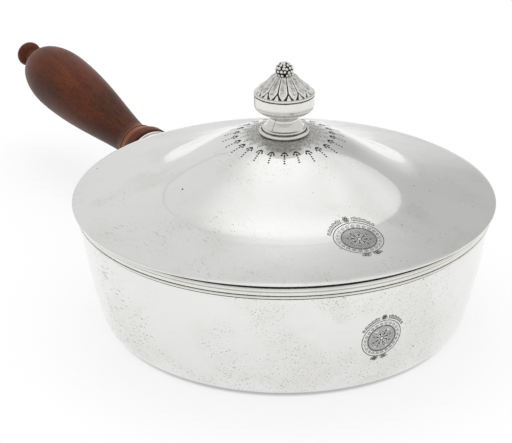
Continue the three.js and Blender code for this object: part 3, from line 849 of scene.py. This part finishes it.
def make_wood():
    """The turned handle. Heights count along its axis, with the collar's face at COLLAR_FACE."""
    tenon = SOCKET_MOUTH - SOCKET_WALL - CLEAR
    neck, neck_at, belly, belly_at, shoulder_at = 11.36, 27.6, 20.75, 125.0, 160.5
    t = np.linspace(0, 1, 48)
    swell = np.stack([
        neck + (belly - neck) * np.sin(math.pi / 2 * t) ** 1.3, neck_at + (belly_at - neck_at) * t,
    ], 1)
    shoulder = arc((7.9, belly_at), (belly - 7.9, shoulder_at - belly_at), 0, 90, 30)
    knob = arc((0, 177.8), (8.74, 6.6), -51.8, 90, 26)
    knob[-1, 0] = 0
    outline = join(
        [0, -22.9], [tenon - 0.8, -22.9], [tenon, -22.1], [tenon, COLLAR_FACE],
        [16.2, COLLAR_FACE], [16.45, COLLAR_FACE + 0.08], [16.6, COLLAR_FACE + 0.3],
        spline([(16.72, 3.8), (16.85, 4.8), (16.75, 6.4), (16.45, 9), (16.3, 10.4)], 6),
        [16.2, 10.75], [15.98, 10.95],
        spline([(15.9, 11.05), (15.35, 13), (14.65, 14.8), (13.85, 16.7), (13.1, 18.95)], 6),
        [13.0, 19.15],
        arc((12.72, 19.95), (0.54, 0.78), -80, 78, 8),
        [12.55, 20.95],
        spline([(12.5, 21.1), (12.2, 22.5), (11.88, 24.1), (11.5, 26.0)], 5),
        swell, shoulder[1:], [7.55, 160.6],
        spline([(7.0, 161.7), (5.8, 164.7), (5.1, 169.0), (5.15, 171.4)], 5)[:-1],
        knob,
    )
    start = SOCKET_END + CLEAR - COLLAR_FACE
    points, faces = turn(outline + [0, start], 176)
    z = points[:, 2] - start

    def near(height, width):
        return np.exp(-((z - height) / width) ** 2)

    # Painted highlights on the collar's ridge, the cove, the neck rings and the shoulder's edge; painted shade, with
    # some grime, in the grooves, at the shoulder's root, at the collar's face, and darker towards the knob's end.
    cove = np.clip((z - 11.0) / 0.8, 0, 1) * np.clip((19.4 - z) / 1.6, 0, 1)
    painted_light = near(19.9, 0.5) + 0.62 * cove + 0.35 * near(9.6, 0.7) + 0.42 * near(160.0, 0.6)
    painted_light = painted_light + 0.3 * near(22.6, 0.35) + 0.22 * near(25.2, 0.3)
    shade_and_grime = near(19.1, 0.3) + near(21.0, 0.35) + near(10.95, 0.35) + 0.9 * near(161.2, 0.8)
    shade_and_grime = shade_and_grime + 0.45 * near(23.7, 0.35) + 0.15 * np.clip((z - 161) / 8, 0, 1)
    shade_and_grime = shade_and_grime + 0.6 * np.clip((6.5 - z) / 3, 0, 1)
    shade = np.clip(painted_light - shade_and_grime, -1, 1)
    material = wood_material((0, -(RISE - math.pi / 2), 0))
    build(
        "handle_turned_wood", along_handle(points), faces, material, "dish", ["wooden_handle"], shade=shade)


# ---- engraving and punching
class Lines:
    """Thin strokes that lie on a surface and reach a little into it, collected into one mesh of closed solids."""

    DEPTH = 0.08
    PEN = 1.3

    def __init__(self, onto):
        self.onto, self.points, self.faces = onto, [], []

    def stroke(self, path, width, taper=0.0):
        """A stroke along a path of (u, v), with tapered ends if taper is above 0."""
        p = np.array(path, float)
        d = np.gradient(p, axis=0)
        n = np.stack([-d[:, 1], d[:, 0]], 1) / np.maximum(np.linalg.norm(d, axis=1), 1e-9)[:, None]
        t = np.linspace(0, 1, len(p))
        w = np.full(len(p), width * self.PEN)
        if taper:
            w *= np.clip(np.minimum(t, 1 - t) / taper, 0.15, 1)
        first = len(self.points)
        for a, b in zip(p + n * w[:, None] / 2, p - n * w[:, None] / 2):
            self.points += [a, b]
        for i in range(len(p) - 1):
            k = first + 2 * i
            self.faces.append((k, k + 1, k + 3, k + 2))

    def dot(self, u, v, radius):
        a = circle(8)
        self.polygon(zip(u + radius * np.cos(a), v + radius * np.sin(a)))

    def polygon(self, corners):
        first = len(self.points)
        self.points += [np.array(c, float) for c in corners]
        self.faces.append(tuple(range(first, len(self.points))))

    def make(self, name, body):
        u, v = np.array(self.points).T
        n = len(u)
        points = np.vstack([self.onto(u, v), self.onto(u, v, self.DEPTH)])
        edges = {(a, b) for face in self.faces for a, b in zip(face, face[1:] + face[:1])}
        faces = self.faces + [tuple(i + n for i in face[::-1]) for face in self.faces]
        faces += [(b, a, a + n, b + n) for a, b in sorted(edges) if (b, a) not in edges]
        build(name, points, faces, cut_lines, body)


LIFT = 0.035
PUNCHED_LIFT = 0.03


def onto_cover(radius, azimuth):
    """A flat frame laid on the cover: u runs anticlockwise round the finial, v runs towards the finial."""
    def place(u, v, sunk=0.0):
        r = radius - v
        a = azimuth + u / r
        return ring(r, a, cover_height(r, a) + LIFT - sunk)
    return place


def round_finial(u, v, sunk=0.0):
    """A polar frame round the finial: u is the radius and v the angle."""
    return ring(u, v, cover_height(u, v) + PUNCHED_LIFT - sunk)


def onto_wall(height, azimuth):
    """A flat frame laid on the dish's wall: u runs anticlockwise and v upwards."""
    def place(u, v, sunk=0.0):
        z = height + v * 0.98
        r = wall_radius(z) + LIFT - sunk
        return ring(r, azimuth + u / r, z)
    return place


def make_punching():
    """Dotted rays with arrowheads round the finial, and small lobes between them."""
    marks = Lines(round_finial)
    step = 2 * math.pi / RAYS
    rng = np.random.default_rng(5)
    corners = circle(8)
    lobe_at, half_line = 24.2, 0.06

    def punch(angle, radius, across, along, half_wide, half_long, lean=0.0):
        """One oval mark near an angle and radius, moved across and along, and leaning by an angle."""
        c, q = math.cos(lean), math.sin(lean)
        u, v = half_wide * np.cos(corners), half_long * np.sin(corners)
        marks.polygon([
            (radius + along + q * x + c * y, angle + (across + c * x - q * y) / radius) for x, y in zip(u, v)][::-1])

    for k in range(RAYS):
        a = FRONT + k * step + rng.uniform(-0.012, 0.012)
        tip = 25.2 + rng.uniform(-0.3, 0.3)
        for i in range(4):
            punch(a, tip + 4.0 + i * 1.6, rng.uniform(-0.1, 0.1), 0, 0.60, 0.50)
        punch(a, tip, 0, 1.0, 0.50, 1.05)
        punch(a, tip, 0, 3.0, 0.46, 0.62)
        for side in (-1, 1):
            punch(a, tip, side * 0.88, 1.30, 0.46, 0.85, -side * 0.55)
            punch(a, tip, side * 1.40, 2.75, 0.50, 0.80, -side * 0.35)
        b = a + step / 2
        lobe = [(lobe_at + 1.2 * math.sin(q), b + 1.3 * math.cos(q) / lobe_at) for q in np.linspace(-2.9, -0.24, 9)]
        for (u0, v0), (u1, v1) in zip(lobe[:-1], lobe[1:]):
            marks.polygon([
                (u0 + half_line, v0), (u1 + half_line, v1), (u1 - half_line, v1), (u0 - half_line, v0)])
        punch(b, 24.5, 0, 0, 0.40, 0.32)
    marks.make("cover_punched_rays", "cover")


def leaf(mark, base, tip, width, pen, veins=True):
    """An engraved leaf from its base to its tip."""
    base, tip = np.array(base, float), np.array(tip, float)
    d = tip - base
    n = np.array([-d[1], d[0]]) / np.linalg.norm(d)
    t = np.linspace(0, 1, 9)
    bulge = width * np.sin(math.pi * t**0.85)
    for side in (-1, 1):
        mark.stroke(base + d * t[:, None] + n * (side * bulge)[:, None], pen, 0.25)
    mark.stroke(base + d * np.linspace(0.05, 0.9, 4)[:, None], pen * 0.8, 0.3)
    if veins:
        for q in (0.35, 0.55, 0.72):
            for side in (-1, 1):
                root = base + d * q
                mark.stroke([root, root + d * 0.13 + n * side * width * 0.62], pen * 0.6, 0.3)


def oval(a, b, start=0, end=360, steps=72):
    return arc((0, 0), (a, b), start, end, steps)


def cartouche(mark, w, h):
    """A plain engraved ornament: an oval with a rosette on a hatched ground, a border of small leaves, and sprays."""
    def at(part, angle):
        return np.array([w * part * math.cos(angle), h * part * math.sin(angle)])

    mark.stroke(oval(w, h), 0.30)
    mark.stroke(oval(w * 0.70, h * 0.70), 0.34)
    mark.stroke(oval(w * 0.745, h * 0.745), 0.14)
    half_leaf = 0.115
    for a in circle(22):
        leaf(mark, at(0.85, a - half_leaf), at(0.85, a + half_leaf), w * 0.055, 0.19, veins=False)
        mark.dot(*at(0.925, a + half_leaf * 1.25), 0.22)
    for y in np.arange(-h * 0.66, h * 0.661, 0.52):
        x = w * 0.68 * math.sqrt(max(0.0, 1 - (y / (h * 0.68)) ** 2))
        free = w * 0.40 * math.sqrt(max(0.0, 1 - (y / (h * 0.40)) ** 2))
        spans = [(-x, -free), (free, x)] if free > 0 else [(-x, x)] if x > 0.4 else []
        for left, right in spans:
            mark.stroke([(left, y), ((left + right) / 2, y), (right, y)], 0.16)
    for a in circle(8):
        leaf(mark, at(0.08, a), at(0.42, a), w * 0.10, 0.26)
        leaf(mark, at(0.2, a + math.pi / 8), at(0.52, a + math.pi / 8), w * 0.05, 0.18, veins=False)
    mark.stroke(oval(w * 0.09, h * 0.09, steps=16), 0.3)
    for side in (-1, 1):
        spray = oval(w * 1.10, h * 1.10, 90 - side * 5, 90 - side * 62, 16)
        mark.stroke(spray, 0.26, 0.2)
        for k in range(2, 15, 3):
            root, along = spray[k], spray[k + 1] - spray[k]
            along = along / np.linalg.norm(along)
            outwards = root / np.linalg.norm(root)
            size = w * (0.30 - 0.009 * k)
            leaf(mark, root, root + (along * 0.75 + outwards * 0.66) * size, w * 0.065, 0.22)
            if k < 12:
                mark.stroke([root, root + outwards * size * 0.42], 0.16, 0.2)
                mark.dot(*(root + outwards * size * 0.48), 0.30)
        for q in (0.0, 0.5, 1.0):
            base = (side * w * (0.05 + 0.16 * q), -h * (1.04 - 0.03 * q))
            tip = (side * w * (0.26 + 0.20 * q), -h * (1.24 - 0.10 * q))
            leaf(mark, base, tip, w * 0.06, 0.22, veins=False)
    centre = np.array([0, h * 1.19])
    for a in circle(6):
        leaf(mark, centre, centre + w * 0.16 * np.array([math.cos(a), math.sin(a)]), w * 0.05, 0.2, veins=False)


def make_engraving():
    """The two cartouches, on the cover's flange and on the dish's wall."""
    on_cover = Lines(onto_cover(85.5, math.radians(-6.4)))
    cartouche(on_cover, 13.6, 12.6)
    on_cover.make("cover_engraved_cartouche", "cover")
    on_body = Lines(onto_wall(34.5, math.radians(-6.6)))
    cartouche(on_body, 11.6, 11.6)
    on_body.make("dish_engraved_cartouche", "dish")


def make_specks():
    """Two old pits in the cover's top, one on its dome and one near its edge."""
    for name, radius, azimuth, size in (("cover_pit_dome", 63.7, -95, 0.62), ("cover_pit_edge", 114.5, -140.8, 0.5)):
        spot = Lines(onto_cover(radius, math.radians(azimuth)))
        spot.polygon([
            (size * math.cos(q) * (1 + 0.2 * math.sin(3 * q)), 0.75 * size * math.sin(q)) for q in circle(12)])
        spot.make(name, "cover")


# ---- studio
def make_floor():
    """A pale floor. Seen directly or in a mirror it reads as white, and it keeps the dish's shadow; its glow is
    dimmed close under the dish, a painted contact shadow.
    """
    s = Shader("studio_floor")
    colour = s.mix(s.noise(s.place, 3.0, 2.0), (0.275, 0.275, 0.275), (0.285, 0.285, 0.284))
    rays = s.add("ShaderNodeLightPath").outputs
    seen = s.sum("MAXIMUM", rays["Is Camera Ray"], rays["Is Glossy Ray"])
    seen = s.sum("MAXIMUM", seen, rays["Is Transmission Ray"])
    # Painted contact shadow: the glow is weaker where the dish stands within a few millimetres of the floor.
    open_sky = s.add("ShaderNodeAmbientOcclusion", {"Distance": 0.002}, samples=8).outputs["AO"]
    seen = s.times(seen, s.span(open_sky, 0.05, 1.0, 0.45, 1.0))
    material = s.finish(
        Base_Color=colour, Roughness=0.8, Specular_IOR_Level=0.1, Emission_Color=(1.0, 1.0, 1.0),
        Emission_Strength=s.times(seen, 0.735))
    mesh = bpy.data.meshes.new("studio_floor")
    half, low = 30.0, -0.0002
    corners = [(-half, -half, low), (half, -half, low), (half, half, low), (-half, half, low)]
    mesh.from_pydata(corners, [], [(0, 1, 2, 3)])
    mesh.materials.append(material)
    put("studio_floor", mesh)


def way(azimuth, elevation):
    """A direction by its azimuth from straight behind the dish, to the picture's right, and its elevation."""
    a, e = math.radians(azimuth), math.radians(elevation)
    behind = Vector((-math.sin(CAMERA_AZIMUTH), math.cos(CAMERA_AZIMUTH), 0))
    right = Vector((math.cos(CAMERA_AZIMUTH), math.sin(CAMERA_AZIMUTH), 0))
    return (behind * math.cos(a) + right * math.sin(a)) * math.cos(e) + Vector((0, 0, math.sin(e)))


def make_world():
    """A pale tent: brighter overhead, with a soft grey panel behind the dish, a little to the right."""
    world = bpy.data.worlds.new("studio")
    bpy.context.scene.world = world
    world.use_nodes = True
    s = Nodes(world.node_tree)
    place = s.add("ShaderNodeTexCoord").outputs["Generated"]

    def nearness(direction):
        """The cosine of the angle to a direction."""
        return s.add("ShaderNodeVectorMath", {0: place, 1: direction}, operation="DOT_PRODUCT").outputs["Value"]

    def disc(direction, wide, narrow, amount):
        """An amount within a narrow angle of a direction, which fades to 0 at a wide one."""
        return s.span(
            nearness(direction), math.cos(math.radians(wide)), math.cos(math.radians(narrow)), 0.0, amount)

    def thin_ring(direction, angle, width, amount):
        """A soft thin line round a direction."""
        return s.plus(disc(direction, angle + width, angle, amount), disc(direction, angle, angle - width, -amount))

    panel = way(1, 20)
    total = s.span(nearness((0, 0, 1)), 0.70, 0.95, 0.80, 1.02)
    for part in (
        s.times(disc(panel, 31.0, 29.6, 1.0), disc(way(20, 27), 27, 5, -0.23)),
        disc(way(-3, 69), 24, 3, 0.14),
        thin_ring(panel, 30.2, 1.0, -0.13),
        disc(way(52, 44), 24, 8, 0.12),
        disc(way(11, 47), 15, 5, 0.075),
    ):
        total = s.plus(total, part)
    background = s.tree.nodes["Background"]
    s.link(total, background.inputs["Strength"])
    background.inputs["Color"].default_value = (1.0, 1.0, 1.0, 1.0)


def make_lamp():
    """A round softbox high behind the dish. It gives light and shadow, but doesn't show in the silver."""
    size, radiance, distance = 1.3, 1.3, 2.2
    lamp = bpy.data.lights.new("softbox_overhead", "AREA")
    lamp.shape = "DISK"
    lamp.size = size
    lamp.energy = radiance * math.pi * math.pi * (size / 2) ** 2
    place = put("softbox_overhead", lamp)
    direction = way(-3, 70)
    place.location = direction * distance
    place.rotation_mode = "QUATERNION"
    place.rotation_quaternion = direction.to_track_quat("Z", "Y")
    place.visible_glossy = False


def make_camera():
    """The photo's camera, solved from the ellipses of the cover, the groove under it and the dish's foot."""
    camera = bpy.data.cameras.new("camera")
    camera.sensor_width = 36.0
    camera.lens = 118.65
    camera.shift_x = -28.0 / PHOTO_WIDTH
    camera.shift_y = -28.23 / PHOTO_WIDTH
    camera.clip_start, camera.clip_end = 0.05, 100.0
    place = put("camera", camera)
    a, e = CAMERA_AZIMUTH, CAMERA_ELEVATION
    back = Vector((math.sin(a) * math.cos(e), -math.cos(a) * math.cos(e), math.sin(e)))
    place.location = CAMERA_AIM + back * CAMERA_DISTANCE
    place.rotation_mode = "QUATERNION"
    place.rotation_quaternion = (-back).to_track_quat("-Z", "Y") @ Quaternion((0, 0, 1), CAMERA_ROLL)
    bpy.context.scene.camera = place


# ---- everything in turn
make_dish()
make_cover()
make_stem()
make_drum()
make_leaf_cap()
make_berry()
make_fastening()
make_socket()
make_wood()
make_punching()
make_engraving()
make_specks()
make_floor()
make_world()
make_lamp()
make_camera()
bpy.context.scene.view_settings.view_transform = "Standard"
